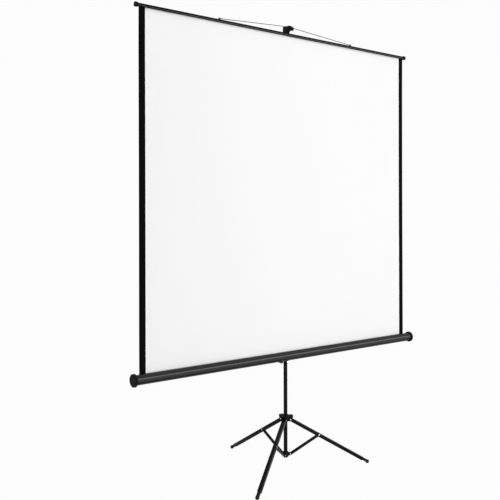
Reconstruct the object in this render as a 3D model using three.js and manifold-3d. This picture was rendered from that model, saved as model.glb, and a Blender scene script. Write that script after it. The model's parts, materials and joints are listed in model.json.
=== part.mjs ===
// Tripod projector screen: a roller screen in a slim case, carried by a telescopic mast on a folding tripod.
// Millimetres, +Z up, X along the screen, +Y away from the viewer. The mast stands on the group's own axis.

import * as THREE from 'three';
import { mergeVertices } from 'three/addons/utils/BufferGeometryUtils.js';
import Module from 'manifold-3d';

const wasm = await Module();
wasm.setup();

// Sheet, measured from the case's axis to the top rail's axis
const whiteWidth = 2030;
const borderWidth = 39;
const sheetThickness = 0.5;
const sheetRise = 1967;
const printGap = 0.1;

// Mast, its foot plug and the extension rod inside it
const mastStandoff = 46;
const mastRadius = 12;
const mastWall = 1.5;
const mastTopHeight = 1340;
const plugFlange = 4;
const plugStem = 16;
const rodRadius = 10;
const rodWall = 1.2;
const rodEngagement = 190;
const guideLength = 12;

// Clamp collar on the mast's top end, and the knob that locks the rod
const clampRadius = 18;
const clampGrip = 30;
const clampLip = 14;
const clampChamfer = 2;
const clampBossRadius = 8;
const clampBossReach = 27;
const screwRadius = 3;
const knobRadius = 15;
const knobDepth = 13;
const knobLobes = 5;
const knobGrooveShare = 0.14;

// Hook
const hookThickness = 14;
const hookReach = 79;
const hookCrown = 50;
const hookBack = 11;
const hookSocketRadius = 12.5;
const hookSocketDepth = 34;
const saddleMouth = 7;
const noseShares = [[0.66, 0.93], [0.84, 0.76], [0.96, 0.6], [1, 0.49], [0.975, 0.38], [0.86, 0.24]];
const throatShares = [[0.79, 0.33], [0.67, 0.38], [0.54, 0.31], [0.46, 0.17], [0.42, -0.03]];

// Case and its end caps
const casingHeight = 712;
const casingOverhang = 49.5;
const casingRadius = 27.5;
const casingWall = 1.6;
const casingSlot = 7;
const shellFacets = 10;
const shellSteps = 84;
const ridgeDepth = 0.6;
const ridgeCount = 6;
const ridgeFromShare = 0.2556;
const ridgeToShare = 0.3944;
const capRadius = 35;
const capThickness = 14;
const capEdge = 3;
const capRecess = 1.2;
const capRimShare = 0.78;
const spigotLength = 20;
const spigotWall = 3.5;
const axleSeatShare = 0.45;

// Spring roller
const rollerRadius = 16;
const rollerWall = 1.4;
const woundThickness = 1.2;
const axleRadius = 4;
const plugDepth = 24;
const plugFlangeDepth = 1.5;
const pinLength = 60;
const shaftLength = 380;
const springTurns = 16;
const springLength = 280;
const springRadius = 9;
const springWire = 1.1;

// Top rail and bail
const railOverhang = 23;
const railRadius = 9.75;
const railWall = 1.4;
const railSlot = 3;
const railCapRadius = 13.5;
const railCapLength = 16;
const railCapWall = 1.6;
const bailHalfSpan = 530;
const bailCrestHalf = 25;
const bailLift = 42;
const bailLean = 14;
const wireRadius = 2;
const clipLength = 9;
const clipHeight = 4.5;
const clipEar = 4.6;
const clipFootShare = 0.85;

// Case slider, its clamp screw, its release lever, and the saddle on the case
const sliderRadius = 18.5;
const sliderDrop = 57;
const sliderLift = 26;
const pivotBossRadius = 13;
const pivotPinInset = 3;
const clampScrewDrop = 47;
const clampScrewBoss = 8.5;
const screwBossProud = 2;
const clampScrewHead = 8.5;
const clampScrewDepth = 10;
const clampScrewGrooveShare = 0.1;
const leverLug = 11;
const leverDrop = 49;
const leverReach = 66;
const leverTip = 7;
const leverRise = 6;
const leverCheek = 2.4;
const saddleFlat = 5.5;
const saddleHalfLength = 28;
const saddleTopShare = 0.0556;
const saddleBottomShare = -0.1333;
const saddleSteps = 8;

// Folding tripod
const pivotRadius = 30;
const hubPivotHeight = 306;
const footRadius = 530;
const linkLength = 212;
const tripodTurnShare = 1 / 180;
const legTurnShares = {
  left: tripodTurnShare - 5 / 12,
  right: tripodTurnShare - 1 / 12,
  rear: tripodTurnShare + 1 / 4,
};

// Strut collar and hub
const collarRadius = 17;
const collarDrop = 15;
const collarLift = 17;
const collarEar = 2.4;
const collarNose = 7;
const collarFootShare = 0.85;
const hubRadius = 17.5;
const hubDrop = 10;
const hubLift = 26;
const hubEar = 2.6;
const hubReach = 46;
const hoodThickness = 3;
const hubCollarLift = 31;
const earSlopeShare = -0.22;
const earRootShare = 0.6;

// Legs, struts, boots and pins
const legWidth = 23.5;
const legDepth = 21.5;
const legWall = 1.4;
const legCorner = 5;
const strutWidth = 10;
const strutDepth = 16.4;
const strutWall = 1.3;
const pinRadius = 2.2;
const headShare = 1.8;
const headHeightShare = 0.55;
const domeShare = 0.7;
const ballRadius = 12;
const ballHeight = 11;
const bootNeck = 38;
const bootGrip = 22;
const neckWidth = 20;
const neckDepth = 17;
const neckCorner = 6;

// Clearances: between fixed neighbours, between moving ones, and the overrun of every cut
const seatGap = 0.3;
const runGap = 0.4;
const overrun = 1;

// Facet counts
const roundSides = 24;
const smallSides = 10;
const ballSides = 16;
const arcSteps = 4;
const railSteps = 24;
const curlSteps = 8;
const curlSides = 5;

// Places worked out from the sizes above
const fullTurn = 2 * Math.PI;
const quarter = Math.PI / 2;
const sheetWidth = whiteWidth + 2 * borderWidth;
const casingHalfLength = sheetWidth / 2 + casingOverhang;
const railHalfLength = sheetWidth / 2 + railOverhang;
const woundRadius = rollerRadius + woundThickness;
const sheetOffset = woundRadius + runGap + sheetThickness / 2;
const sheetY = -mastStandoff;
const casingY = sheetY - sheetOffset;
const railHeight = casingHeight + sheetRise;
const railTop = railHeight + railRadius;
const spread = Math.atan2(footRadius - pivotRadius, hubPivotHeight - ballHeight);
const legReach = Math.hypot(footRadius - pivotRadius, hubPivotHeight - ballHeight);
const collarPivotHeight = hubPivotHeight - 2 * linkLength * Math.cos(spread);

// Axis frames: an outline drawn in x and y, and pushed along z, is laid into the part by one of these
const axisX = new THREE.Vector3(1, 0, 0);
const axisY = new THREE.Vector3(0, 1, 0);
const axisZ = new THREE.Vector3(0, 0, 1);
const alongX = new THREE.Matrix4().makeBasis(axisY, axisZ, axisX);
const sideOn = new THREE.Matrix4().makeBasis(axisX, axisZ, axisY.clone().negate());
const profileOn = new THREE.Matrix4().makeBasis(axisY.clone().negate(), axisZ, axisX.clone().negate());

// Solids

function withoutSlivers(geometry) {
  const bare = geometry.clone();
  for (const name of ['normal', 'uv']) bare.deleteAttribute(name);
  const merged = mergeVertices(bare);
  const old = merged.index.array;
  const kept = [];
  for (let i = 0; i < old.length; i += 3) {
    const [a, b, c] = [old[i], old[i + 1], old[i + 2]];
    if (a !== b && b !== c && c !== a) kept.push(a, b, c);
  }
  merged.setIndex(kept);
  return merged;
}

function signedVolume(geometry) {
  const place = geometry.attributes.position;
  const index = geometry.index.array;
  const [a, b, c] = [new THREE.Vector3(), new THREE.Vector3(), new THREE.Vector3()];
  let total = 0;
  for (let i = 0; i < index.length; i += 3) {
    a.fromBufferAttribute(place, index[i]);
    b.fromBufferAttribute(place, index[i + 1]);
    c.fromBufferAttribute(place, index[i + 2]);
    total += a.dot(b.cross(c));
  }
  return total;
}

function outward(geometry) {
  const merged = withoutSlivers(geometry);
  if (signedVolume(merged) < 0) merged.setIndex(Array.from(merged.index.array).reverse());
  return merged;
}

function solidOf(geometry) {
  const merged = outward(geometry);
  return new wasm.Manifold(new wasm.Mesh({
    numProp: 3,
    vertProperties: new Float32Array(merged.attributes.position.array),
    triVerts: new Uint32Array(merged.index.array),
  }));
}

function geometryOf(solid) {
  const { vertProperties, triVerts } = solid.getMesh();
  const geometry = new THREE.BufferGeometry();
  geometry.setAttribute('position', new THREE.BufferAttribute(new Float32Array(vertProperties), 3));
  geometry.setIndex(Array.from(triVerts));
  return geometry;
}

function joined(...geometries) {
  return geometryOf(geometries.map(solidOf).reduce((whole, next) => whole.add(next)));
}

function cut(geometry, ...tools) {
  return geometryOf(tools.map(solidOf).reduce((whole, next) => whole.subtract(next), solidOf(geometry)));
}

// Forms

function turned(profile, sides = roundSides) {
  const points = profile.map(([radius, height]) => new THREE.Vector2(radius, height));
  return new THREE.LatheGeometry(points, sides).rotateX(quarter);
}

function tube(outer, inner, from, to, sides = roundSides) {
  return turned([[inner, from], [outer, from], [outer, to], [inner, to], [inner, from]], sides);
}

function rod(radius, from, to, sides = roundSides) {
  return turned([[0, from], [radius, from], [radius, to], [0, to]], sides);
}

function pushed(shape, depth, frame = new THREE.Matrix4()) {
  const options = { depth, bevelEnabled: false, curveSegments: arcSteps };
  return new THREE.ExtrudeGeometry(shape, options).applyMatrix4(frame);
}

function centred(shape, depth, frame) {
  const options = { depth, bevelEnabled: false, curveSegments: arcSteps };
  return new THREE.ExtrudeGeometry(shape, options).translate(0, 0, -depth / 2).applyMatrix4(frame);
}

function block(x0, x1, y0, y1, z0, z1) {
  const box = new THREE.BoxGeometry(x1 - x0, y1 - y0, z1 - z0);
  return box.translate((x0 + x1) / 2, (y0 + y1) / 2, (z0 + z1) / 2);
}

function outline(points) {
  return new THREE.Shape(points.map(([x, y]) => new THREE.Vector2(x, y)));
}

function channelOutline(width, depth, wall, corner) {
  // A channel open towards -x, with its web on +x and its walls at +y and -y
  const [half, back, inner] = [width / 2, depth / 2, Math.max(corner - wall, wall / 2)];
  const shape = new THREE.Shape();
  shape.moveTo(-back, -half);
  shape.lineTo(back - corner, -half);
  shape.absarc(back - corner, -half + corner, corner, -quarter, 0);
  shape.lineTo(back, half - corner);
  shape.absarc(back - corner, half - corner, corner, 0, quarter);
  shape.lineTo(-back, half);
  shape.lineTo(-back, half - wall);
  shape.lineTo(back - wall - inner, half - wall);
  shape.absarc(back - wall - inner, half - wall - inner, inner, quarter, 0, true);
  shape.lineTo(back - wall, -half + wall + inner);
  shape.absarc(back - wall - inner, -half + wall + inner, inner, 0, -quarter, true);
  shape.lineTo(-back, -half + wall);
  shape.closePath();
  return shape;
}

function roundedOutline(width, depth, corner) {
  const [x, y] = [depth / 2, width / 2];
  const shape = new THREE.Shape();
  shape.absarc(x - corner, y - corner, corner, 0, quarter);
  shape.absarc(-x + corner, y - corner, corner, quarter, Math.PI);
  shape.absarc(-x + corner, -y + corner, corner, Math.PI, 3 * quarter);
  shape.absarc(x - corner, -y + corner, corner, 3 * quarter, 4 * quarter);
  shape.closePath();
  return shape;
}

function slotOutline(halfWidth, from, to) {
  // A bar with full round ends, its end centres at from and to along y
  const shape = new THREE.Shape();
  shape.absarc(0, to, halfWidth, 0, Math.PI);
  shape.absarc(0, from, halfWidth, Math.PI, 2 * Math.PI);
  shape.closePath();
  return shape;
}

function openRing(outerAt, innerRadius, slotFrom, slotTo, steps) {
  // A ring of an angle-dependent outer radius, left open from slotFrom to slotTo
  const sweep = 2 * Math.PI - (slotTo - slotFrom);
  const angles = Array.from({ length: steps + 1 }, (_, i) => slotTo + (sweep * i) / steps);
  const outer = angles.map((a) => [outerAt(a) * Math.cos(a), outerAt(a) * Math.sin(a)]);
  const inner = angles.filter((_, i) => i % 2 === 0)
    .map((a) => [innerRadius * Math.cos(a), innerRadius * Math.sin(a)]);
  return outline([...outer, ...inner.reverse()]);
}

// Materials

function finish(color, roughness, metalness) {
  return new THREE.MeshStandardMaterial({ color, roughness, metalness });
}

const blackPaint = () => finish(0x1c1c1e, 0.42, 0.5);
const blackPlastic = () => finish(0x141415, 0.55, 0);
const caseLacquer = () => finish(0x343437, 0.4, 0.55);
const steel = () => finish(0xb9babc, 0.3, 1);
const chrome = () => finish(0xd9dadc, 0.12, 1);
const zinc = () => finish(0x8d8f91, 0.45, 1);
const rubber = () => finish(0x101011, 0.85, 0);
const whiteSheet = () => finish(0xf2f2f0, 0.9, 0);
const blackSheet = () => finish(0x0c0c0d, 0.8, 0);

const part = new THREE.Group();

function add(parent, name, geometry, material) {
  const mesh = new THREE.Mesh(outward(geometry), material);
  mesh.name = name;
  mesh.geometry.computeVertexNormals();
  parent.add(mesh);
  return mesh;
}

// Rivets lie along y: a shank and two low domed heads outside a span

function rivet(halfSpan, shank) {
  const headRadius = shank * headShare;
  const headHeight = shank * headHeightShare;
  const domeRadius = headRadius * domeShare;
  const profile = [
    [0, -halfSpan - headHeight],
    [domeRadius, -halfSpan - headHeight],
    [headRadius, -halfSpan - headHeight / 2],
    [headRadius, -halfSpan],
    [shank, -halfSpan],
    [shank, halfSpan],
    [headRadius, halfSpan],
    [headRadius, halfSpan + headHeight / 2],
    [domeRadius, halfSpan + headHeight],
    [0, halfSpan + headHeight],
  ];
  return turned(profile, smallSides).rotateX(quarter);
}

function crossHole(radius, halfLength, x, z) {
  return new THREE.CylinderGeometry(radius, radius, 2 * halfLength, smallSides).translate(x, 0, z);
}

// Mast: a plain tube, plugged at the bottom, with the strut collar pressed on its lower end

const mastBottom = collarPivotHeight - collarDrop;

function ear(nose, drop, lift, thickness, reachOutline) {
  return centred(reachOutline(nose, drop, lift), thickness, sideOn);
}

function collarEarOutline(nose, drop, lift) {
  const root = mastRadius + seatGap;
  const shape = new THREE.Shape();
  shape.moveTo(root, -drop);
  shape.lineTo(pivotRadius - nose, -nose);
  shape.absarc(pivotRadius, 0, nose, -quarter, quarter);
  shape.lineTo(root, lift);
  shape.closePath();
  return shape;
}

function strutCollar() {
  const faceInside = strutWidth / 2 + runGap;
  const middle = faceInside + collarEar / 2;
  const pieces = [tube(collarRadius, mastRadius, -collarDrop, collarLift)];
  const holes = [rod(mastRadius + seatGap, -collarDrop - overrun, collarLift + overrun)];
  for (const share of Object.values(legTurnShares)) {
    const turn = new THREE.Matrix4().makeRotationZ(fullTurn * share);
    for (const side of [-1, 1]) {
      const plate = ear(collarNose, collarDrop * collarFootShare, collarLift * collarFootShare,
        collarEar, collarEarOutline);
      pieces.push(plate.translate(0, side * middle, 0).applyMatrix4(turn));
    }
    holes.push(crossHole(pinRadius + seatGap, strutWidth + collarEar, pivotRadius, 0).applyMatrix4(turn));
  }
  return cut(joined(...pieces), ...holes);
}

const mast = new THREE.Group();
part.add(mast);

add(mast, 'mast_tube', tube(mastRadius, mastRadius - mastWall, mastBottom, mastTopHeight), blackPaint());

add(mast, 'mast_foot_plug', turned([
  [0, mastBottom - seatGap - plugFlange],
  [mastRadius - mastWall / 2, mastBottom - seatGap - plugFlange],
  [mastRadius, mastBottom - seatGap - plugFlange / 2],
  [mastRadius, mastBottom - seatGap],
  [mastRadius - mastWall - seatGap, mastBottom - seatGap],
  [mastRadius - mastWall - seatGap, mastBottom + plugStem],
  [0, mastBottom + plugStem],
]), blackPlastic());

add(mast, 'strut_collar', strutCollar(), blackPlastic()).position.z = collarPivotHeight;

function addPins(parent, name, halfSpan, height) {
  for (const [side, share] of Object.entries(legTurnShares)) {
    const turn = new THREE.Matrix4().makeRotationZ(fullTurn * share);
    const pin = rivet(halfSpan, pinRadius).translate(pivotRadius, 0, height).applyMatrix4(turn);
    add(parent, `${name}_${side}`, pin, steel());
  }
}

addPins(mast, 'collar_pin', strutWidth / 2 + runGap + collarEar + seatGap, collarPivotHeight);

// Hub: a sleeve that slides on the mast, with a hooded pair of ears for each leg

function hubEarOutline(nose, drop, lift) {
  const root = mastRadius * earRootShare;
  const shape = new THREE.Shape();
  shape.moveTo(root, -drop);
  shape.lineTo(pivotRadius, -drop);
  shape.absarc(pivotRadius, 0, nose, -quarter, quarter * earSlopeShare);
  shape.lineTo(hubReach, lift - 2 * hoodThickness);
  shape.lineTo(hubReach, lift - hoodThickness / 2);
  shape.lineTo(hubReach - hoodThickness / 2, lift);
  shape.lineTo(root, lift);
  shape.closePath();
  return shape;
}

function legHub() {
  const middle = legWidth / 2 + runGap + hubEar / 2;
  const pieces = [
    tube(hubRadius, mastRadius, -hubDrop, hubLift),
    tube(hubRadius - hoodThickness / 2, mastRadius, hubLift - hoodThickness, hubCollarLift),
  ];
  const holes = [rod(mastRadius + runGap, -hubDrop - overrun, hubCollarLift + overrun)];
  for (const share of Object.values(legTurnShares)) {
    const turn = new THREE.Matrix4().makeRotationZ(fullTurn * share);
    for (const side of [-1, 1]) {
      const plate = ear(hubDrop, hubDrop, hubLift, hubEar, hubEarOutline);
      pieces.push(plate.translate(0, side * middle, 0).applyMatrix4(turn));
    }
    pieces.push(block(mastRadius + runGap, hubReach - hoodThickness / 2, -middle, middle,
      hubLift - hoodThickness, hubLift).applyMatrix4(turn));
    holes.push(crossHole(pinRadius + seatGap, legWidth, pivotRadius, 0).applyMatrix4(turn));
  }
  return cut(joined(...pieces), ...holes);
}

const hub = new THREE.Group();
hub.position.z = hubPivotHeight;
part.add(hub);
add(hub, 'leg_hub', legHub(), blackPlastic());
addPins(hub, 'hub_pin', legWidth / 2 + runGap + hubEar + seatGap, 0);

// Legs: open channels that hinge on the hub. Struts: narrower channels that fold up inside them.
// Each is drawn folded, along z, in a frame whose x points away from the mast

function leg() {
  const end = bootNeck - legReach;
  const length = legDepth / 2 - end;
  const bar = pushed(channelOutline(legWidth, legDepth, legWall, legCorner), length).translate(0, 0, end);
  const side = centred(slotOutline(legDepth / 2, end - legDepth, 0), legWidth + 2 * overrun, sideOn);
  const rounded = geometryOf(solidOf(bar).intersect(solidOf(side)));
  const holes = [0, -linkLength].map((z) => crossHole(pinRadius + seatGap, legWidth, 0, z));
  return cut(rounded, ...holes);
}

function boot(frame) {
  // A plug fills the channel's end, and a neck runs on along the web to the ball
  const legEnd = bootNeck - legReach;
  const web = legDepth / 2 - legWall - seatGap;
  const plugDepth = legDepth / 2 + web;
  const plugCorner = legCorner - legWall - seatGap;
  const plug = pushed(roundedOutline(legWidth - 2 * (legWall + seatGap), plugDepth, plugCorner), bootGrip)
    .translate(web - plugDepth / 2, 0, legEnd - seatGap);
  const neck = pushed(roundedOutline(neckWidth, neckDepth, neckCorner), bootNeck + bootGrip / 2)
    .translate(web - neckDepth / 2, 0, -legReach);
  const ball = new THREE.SphereGeometry(ballRadius, ballSides, ballSides / 2).translate(0, 0, -legReach);
  const whole = joined(plug, neck, ball).applyMatrix4(frame);
  const below = 2 * ballRadius;
  return cut(whole, block(-footRadius, 2 * footRadius, -below, below, -below, 0));
}

function strut() {
  const radius = strutDepth / 2;
  const corner = strutWall;
  const length = linkLength + strutDepth;
  const bar = pushed(channelOutline(strutWidth, strutDepth, strutWall, corner), length)
    .translate(0, 0, -radius);
  const side = centred(slotOutline(radius, 0, linkLength), strutWidth + 2 * overrun, sideOn);
  const rounded = geometryOf(solidOf(bar).intersect(solidOf(side)));
  const holes = [0, linkLength].map((z) => crossHole(pinRadius + seatGap, strutWidth, 0, z));
  return cut(rounded, ...holes);
}

for (const [name, share] of Object.entries(legTurnShares)) {
  const plane = new THREE.Group();
  plane.rotation.z = fullTurn * share;
  part.add(plane);

  const legFrame = new THREE.Group();
  legFrame.position.set(pivotRadius, 0, hubPivotHeight);
  legFrame.rotation.y = -spread;
  legFrame.updateMatrix();
  plane.add(legFrame);
  add(legFrame, `leg_${name}`, leg(), blackPaint());
  const pin = add(legFrame, `strut_pin_${name}`, rivet(legWidth / 2 + seatGap, pinRadius), steel());
  pin.position.z = -linkLength;
  add(plane, `foot_${name}`, boot(legFrame.matrix), rubber());

  const strutFrame = new THREE.Group();
  strutFrame.position.set(pivotRadius, 0, collarPivotHeight);
  strutFrame.rotation.y = spread;
  plane.add(strutFrame);
  add(strutFrame, `strut_${name}`, strut(), blackPaint());
}

// Clamp at the mast's top end: a stepped collar with a boss at the back for the rod's lock knob

function lobedOutline(radius, lobes, depthShare) {
  const count = lobes * arcSteps;
  const points = Array.from({ length: count }, (_, i) => {
    const angle = (2 * Math.PI * i) / count;
    const reach = radius * (1 - depthShare / 2 + (depthShare / 2) * Math.cos(lobes * angle));
    return [reach * Math.cos(angle), reach * Math.sin(angle)];
  });
  return outline(points);
}

function clampCollar() {
  const base = mastTopHeight - clampGrip;
  const top = mastTopHeight + seatGap + clampLip;
  const ring = turned([
    [mastRadius + seatGap, base],
    [clampRadius - clampChamfer, base],
    [clampRadius, base + clampChamfer],
    [clampRadius, top - clampChamfer],
    [clampRadius - clampChamfer, top],
    [rodRadius + runGap, top],
    [rodRadius + runGap, mastTopHeight + seatGap],
    [mastRadius + seatGap, mastTopHeight + seatGap],
    [mastRadius + seatGap, base],
  ]);
  const height = mastTopHeight + clampLip / 2;
  const boss = rod(clampBossRadius, mastRadius + seatGap, clampBossReach, smallSides)
    .rotateX(-quarter).translate(0, 0, height);
  const bore = rod(rodRadius + runGap, base - overrun, top + overrun);
  const seat = rod(mastRadius + seatGap, base - overrun, mastTopHeight + seatGap);
  const thread = rod(screwRadius + seatGap, 0, clampBossReach + overrun, smallSides)
    .rotateX(-quarter).translate(0, 0, height);
  return cut(joined(ring, boss), bore, seat, thread);
}

add(mast, 'clamp_collar', clampCollar(), blackPlastic());

const rodKnobHeight = mastTopHeight + clampLip / 2;

function screwKnob(radius, depth, stemLength) {
  const head = pushed(lobedOutline(radius, knobLobes, knobGrooveShare), depth);
  const stem = rod(screwRadius, -stemLength, overrun, smallSides);
  return joined(head, stem).rotateX(-quarter);
}

const rodKnobStem = clampBossReach + seatGap - rodRadius - runGap - seatGap;
const rodKnob = add(part, 'rod_lock_knob', screwKnob(knobRadius, knobDepth, rodKnobStem), blackPlastic());
rodKnob.position.set(0, clampBossReach + seatGap, rodKnobHeight);

// Extension rod: a lighter tube inside the mast, with a guide plug below and the hook on top

const rodTop = railTop - hookSocketRadius;
const rodBottom = mastTopHeight - rodEngagement;

const extension = new THREE.Group();
part.add(extension);

add(extension, 'extension_rod', tube(rodRadius, rodRadius - rodWall, rodBottom, rodTop), blackPaint());

add(extension, 'rod_guide_plug', turned([
  [0, rodBottom - seatGap - guideLength / 2],
  [rodRadius, rodBottom - seatGap - guideLength / 2],
  [rodRadius, rodBottom - seatGap],
  [rodRadius - rodWall - seatGap, rodBottom - seatGap],
  [rodRadius - rodWall - seatGap, rodBottom + guideLength],
  [0, rodBottom + guideLength],
]), blackPlastic());

// Hook: a moulded head that arches forward over the top rail, with a saddle for the bail wire.
// Its outline is given as forward distance from the mast's axis and height above the rail

const saddleForward = mastStandoff - bailLean;
const saddleFloor = bailLift - wireRadius - seatGap;
const saddleHalf = wireRadius;

function hookHead() {
  const shape = outline([
    [-hookBack, -hookSocketRadius],
    [hookSocketRadius - seatGap, -hookSocketRadius],
    ...throatShares.map(([f, h]) => [f * hookReach, h * hookCrown]).reverse(),
    ...noseShares.map(([f, h]) => [f * hookReach, h * hookCrown]).reverse(),
    [saddleForward + saddleMouth, hookCrown],
    [saddleForward + saddleHalf, saddleFloor],
    [saddleForward - saddleHalf, saddleFloor],
    [saddleForward - saddleMouth, hookCrown],
    [-hookBack + 2 * wireRadius, hookCrown],
    [-hookBack, hookCrown - 2 * wireRadius],
  ]);
  return centred(shape, hookThickness, profileOn).translate(0, 0, railTop);
}

function topHook() {
  const socket = rod(hookSocketRadius, rodTop - hookSocketDepth, railTop);
  const bore = rod(rodRadius + seatGap, rodTop - hookSocketDepth - overrun, rodTop + seatGap);
  return cut(joined(socket, hookHead()), bore);
}

add(extension, 'top_hook', topHook(), blackPlastic());

// Case slider: a sleeve on the mast that carries the case on a pivot, with its clamp screw and release lever

const saddleFace = casingY + casingRadius + runGap + saddleFlat;
const bossFace = saddleFace + runGap;
const screwBossReach = sliderRadius + screwBossProud;

function caseSlider() {
  const sleeve = turned([
    [mastRadius, -sliderDrop],
    [sliderRadius - clampChamfer, -sliderDrop],
    [sliderRadius, -sliderDrop + clampChamfer],
    [sliderRadius, sliderLift - clampChamfer],
    [sliderRadius - clampChamfer, sliderLift],
    [mastRadius, sliderLift],
    [mastRadius, -sliderDrop],
  ]);
  const boss = rod(pivotBossRadius, mastRadius + runGap, -bossFace).rotateX(quarter);
  const screwBoss = rod(clampScrewBoss, mastRadius + runGap, screwBossReach, smallSides)
    .rotateX(quarter).translate(0, 0, -clampScrewDrop);
  const lug = block(-leverPivot, 0, -leverLug / 2, leverLug / 2,
    -leverDrop - leverLug / 2, -leverDrop + leverLug / 2);
  const lugEnd = rod(leverLug / 2, -leverLug / 2, leverLug / 2)
    .rotateX(quarter).translate(-leverPivot, 0, -leverDrop);
  const bore = rod(mastRadius + runGap, -sliderDrop - overrun, sliderLift + overrun);
  const pinHole = rod(axleRadius + seatGap, 0, -bossFace + overrun, smallSides).rotateX(quarter);
  const thread = rod(screwRadius + seatGap, 0, screwBossReach + overrun, smallSides)
    .rotateX(quarter).translate(0, 0, -clampScrewDrop);
  const leverHole = crossHole(pinRadius + seatGap, leverLug, -leverPivot, -leverDrop);
  return cut(joined(sleeve, boss, screwBoss, lug, lugEnd), bore, pinHole, thread, leverHole);
}

// Release lever: a forked thumb lever on the slider's left side, sloping up and away from the mast

const leverHeel = sliderRadius + 2 * runGap;
const leverPivot = leverHeel + leverLug / 2;

function releaseLever() {
  const half = leverLug / 2 + runGap + leverCheek;
  const shape = new THREE.Shape();
  shape.moveTo(-leverReach + leverTip, leverRise + leverTip);
  shape.lineTo(-leverReach, leverRise);
  shape.lineTo(-leverPivot - leverLug, -leverLug / 2);
  shape.absarc(-leverPivot, 0, leverLug / 2, -quarter, quarter);
  shape.closePath();
  const body = centred(shape, 2 * half, sideOn).translate(0, 0, -leverDrop);
  const fork = block(-leverHeel - leverLug - 2 * runGap, 0, -leverLug / 2 - runGap, leverLug / 2 + runGap,
    -leverDrop - leverLug, -leverDrop + leverRise + leverTip);
  const hole = crossHole(pinRadius + seatGap, leverReach, -leverPivot, -leverDrop);
  return cut(body, fork, hole);
}

const slider = new THREE.Group();
slider.position.z = casingHeight;
part.add(slider);
add(slider, 'case_slider', caseSlider(), blackPlastic());
add(slider, 'release_lever', releaseLever(), blackPlastic());
const leverSpan = leverLug / 2 + runGap + leverCheek + seatGap;
add(slider, 'lever_pin', rivet(leverSpan, pinRadius), steel()).position.set(-leverPivot, 0, -leverDrop);

function clampScrew() {
  const shape = lobedOutline(clampScrewHead, 2 * knobLobes, clampScrewGrooveShare);
  const head = pushed(shape, clampScrewDepth);
  const stem = rod(screwRadius, -(screwBossReach - mastRadius - runGap - seatGap), overrun, smallSides);
  return joined(head, stem).rotateX(quarter);
}

add(slider, 'case_clamp_screw', clampScrew(), chrome())
  .position.set(0, -screwBossReach - seatGap, -clampScrewDrop);

add(slider, 'case_pivot_pin',
  rod(axleRadius, mastRadius + runGap + seatGap, -saddleFace + pivotPinInset, smallSides).rotateX(quarter),
  steel());

// Case: a slotted extruded shell of ten flats, ridged along its upper front, closed by two end caps.
// Angles are measured in its section from the direction of the mast

const ridgeFrom = fullTurn * ridgeFromShare;
const ridgeTo = fullTurn * ridgeToShare;
const shellHalfLength = casingHalfLength - capThickness - seatGap;
const slotMiddle = Math.asin(Math.sqrt(casingRadius ** 2 - sheetOffset ** 2) / casingRadius);
const slotHalfAngle = casingSlot / casingRadius / Math.sin(slotMiddle) / 2;

function shellRadius(angle) {
  const facet = (2 * Math.PI) / shellFacets;
  const within = ((angle % facet) + facet) % facet - facet / 2;
  const flat = (casingRadius * Math.cos(facet / 2)) / Math.cos(within);
  const ridged = angle > ridgeFrom && angle < ridgeTo;
  const step = Math.round(((angle - ridgeFrom) / (ridgeTo - ridgeFrom)) * 2 * ridgeCount);
  return ridged && step % 2 === 1 ? flat - ridgeDepth : flat;
}

function casingShell() {
  const inner = casingRadius * Math.cos(Math.PI / shellFacets) - casingWall;
  const [from, to] = [slotMiddle - slotHalfAngle, slotMiddle + slotHalfAngle];
  const section = openRing(shellRadius, inner, from, to, shellSteps);
  return centred(section, 2 * shellHalfLength, alongX);
}

function casingCap(side) {
  const spigotOuter = casingRadius * Math.cos(Math.PI / shellFacets) - casingWall - seatGap;
  const seat = capThickness * axleSeatShare;
  const profile = [
    [0, seat],
    [axleRadius + seatGap, seat],
    [axleRadius + seatGap, 0],
    [spigotOuter - spigotWall, 0],
    [spigotOuter - spigotWall, -spigotLength],
    [spigotOuter, -spigotLength],
    [spigotOuter, 0],
    [capRadius, 0],
    [capRadius, capThickness - capEdge],
    [capRadius - capEdge / 2, capThickness - capEdge / 3],
    [capRadius - capEdge, capThickness],
    [capRadius * capRimShare, capThickness],
    [capRadius * capRimShare - capRecess, capThickness - capRecess],
    [0, capThickness - capRecess],
  ];
  const cap = turned(profile).rotateY(quarter).translate(casingHalfLength - capThickness, 0, 0);
  const sheetPath = block(0, casingHalfLength - capThickness, sheetOffset - casingSlot / 2,
    casingRadius, 0, casingRadius);
  return cut(cap, sheetPath).rotateZ(side < 0 ? Math.PI : 0);
}

function mirroredCap() {
  const cap = casingCap(1);
  return outward(cap.scale(-1, 1, 1));
}

// The case saddle grips the shell's back between its slot and its underside

const saddleTop = fullTurn * saddleTopShare;
const saddleBottom = fullTurn * saddleBottomShare;

function caseSaddle() {
  const hug = casingRadius + runGap;
  const face = hug + saddleFlat;
  const angles = Array.from({ length: saddleSteps + 1 },
    (_, i) => saddleTop + ((saddleBottom - saddleTop) * i) / saddleSteps);
  const inside = angles.map((a) => [hug * Math.cos(a), hug * Math.sin(a)]);
  const top = hug * Math.sin(saddleTop);
  const bottom = hug * Math.sin(saddleBottom);
  const heel = hug * Math.cos(saddleBottom);
  const section = outline([...inside, [heel + saddleFlat, bottom], [face, -pivotBossRadius], [face, top]]);
  const body = centred(section, 2 * saddleHalfLength, alongX);
  const hole = rod(axleRadius + seatGap, hug - overrun, face + overrun, smallSides).rotateX(-quarter);
  return cut(body, hole);
}

const casing = new THREE.Group();
casing.position.set(0, casingY, casingHeight);
part.add(casing);
add(casing, 'casing_shell', casingShell(), caseLacquer());
add(casing, 'casing_cap_right', casingCap(1), blackPlastic());
add(casing, 'casing_cap_left', mirroredCap(), blackPlastic());
add(casing, 'case_saddle', caseSaddle(), blackPlastic());

// Spring roller: a tube turning on a pin at the left and on the spring's fixed shaft at the right

const rollerHalfLength = shellHalfLength - spigotLength - 2 * overrun;
const axleEnd = casingHalfLength - capThickness + capThickness * axleSeatShare - seatGap;

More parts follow.
